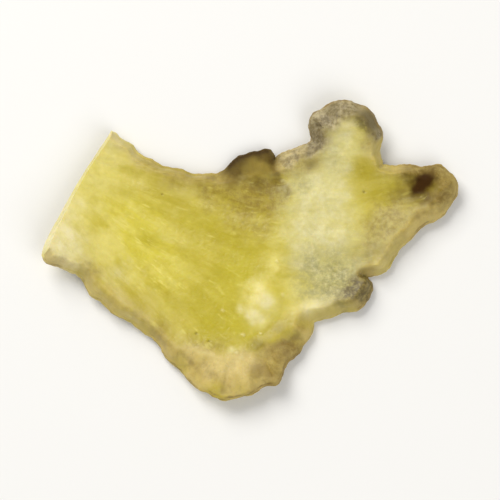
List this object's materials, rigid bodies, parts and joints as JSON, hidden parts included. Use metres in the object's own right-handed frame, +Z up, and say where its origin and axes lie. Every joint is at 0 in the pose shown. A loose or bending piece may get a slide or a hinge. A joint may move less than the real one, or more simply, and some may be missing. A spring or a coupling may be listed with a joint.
{
  "type": "dried solomon's seal rhizome slice",
  "caption": "Thin lengthwise slice of a dried rhizome with a straight cut end, a rounded heel, a bud and an arm; it lies flat on its underside with its edges curled up.",
  "frame": {"origin": "under the middle of the outline, on the surface that the slice lies on", "axes": "+X from the cut end to the tip of the arm, +Y towards the bud, +Z up, out of the upper cut face"},
  "size_m": [0.068, 0.0489, 0.007],
  "materials": {
    "dried_flesh": "waxy, slightly translucent cut face with a matt wrinkled skin round the edge"
  },
  "bodies": {
    "root": {"rhizome_slice": "dried_flesh"}
  },
  "joints": []
}
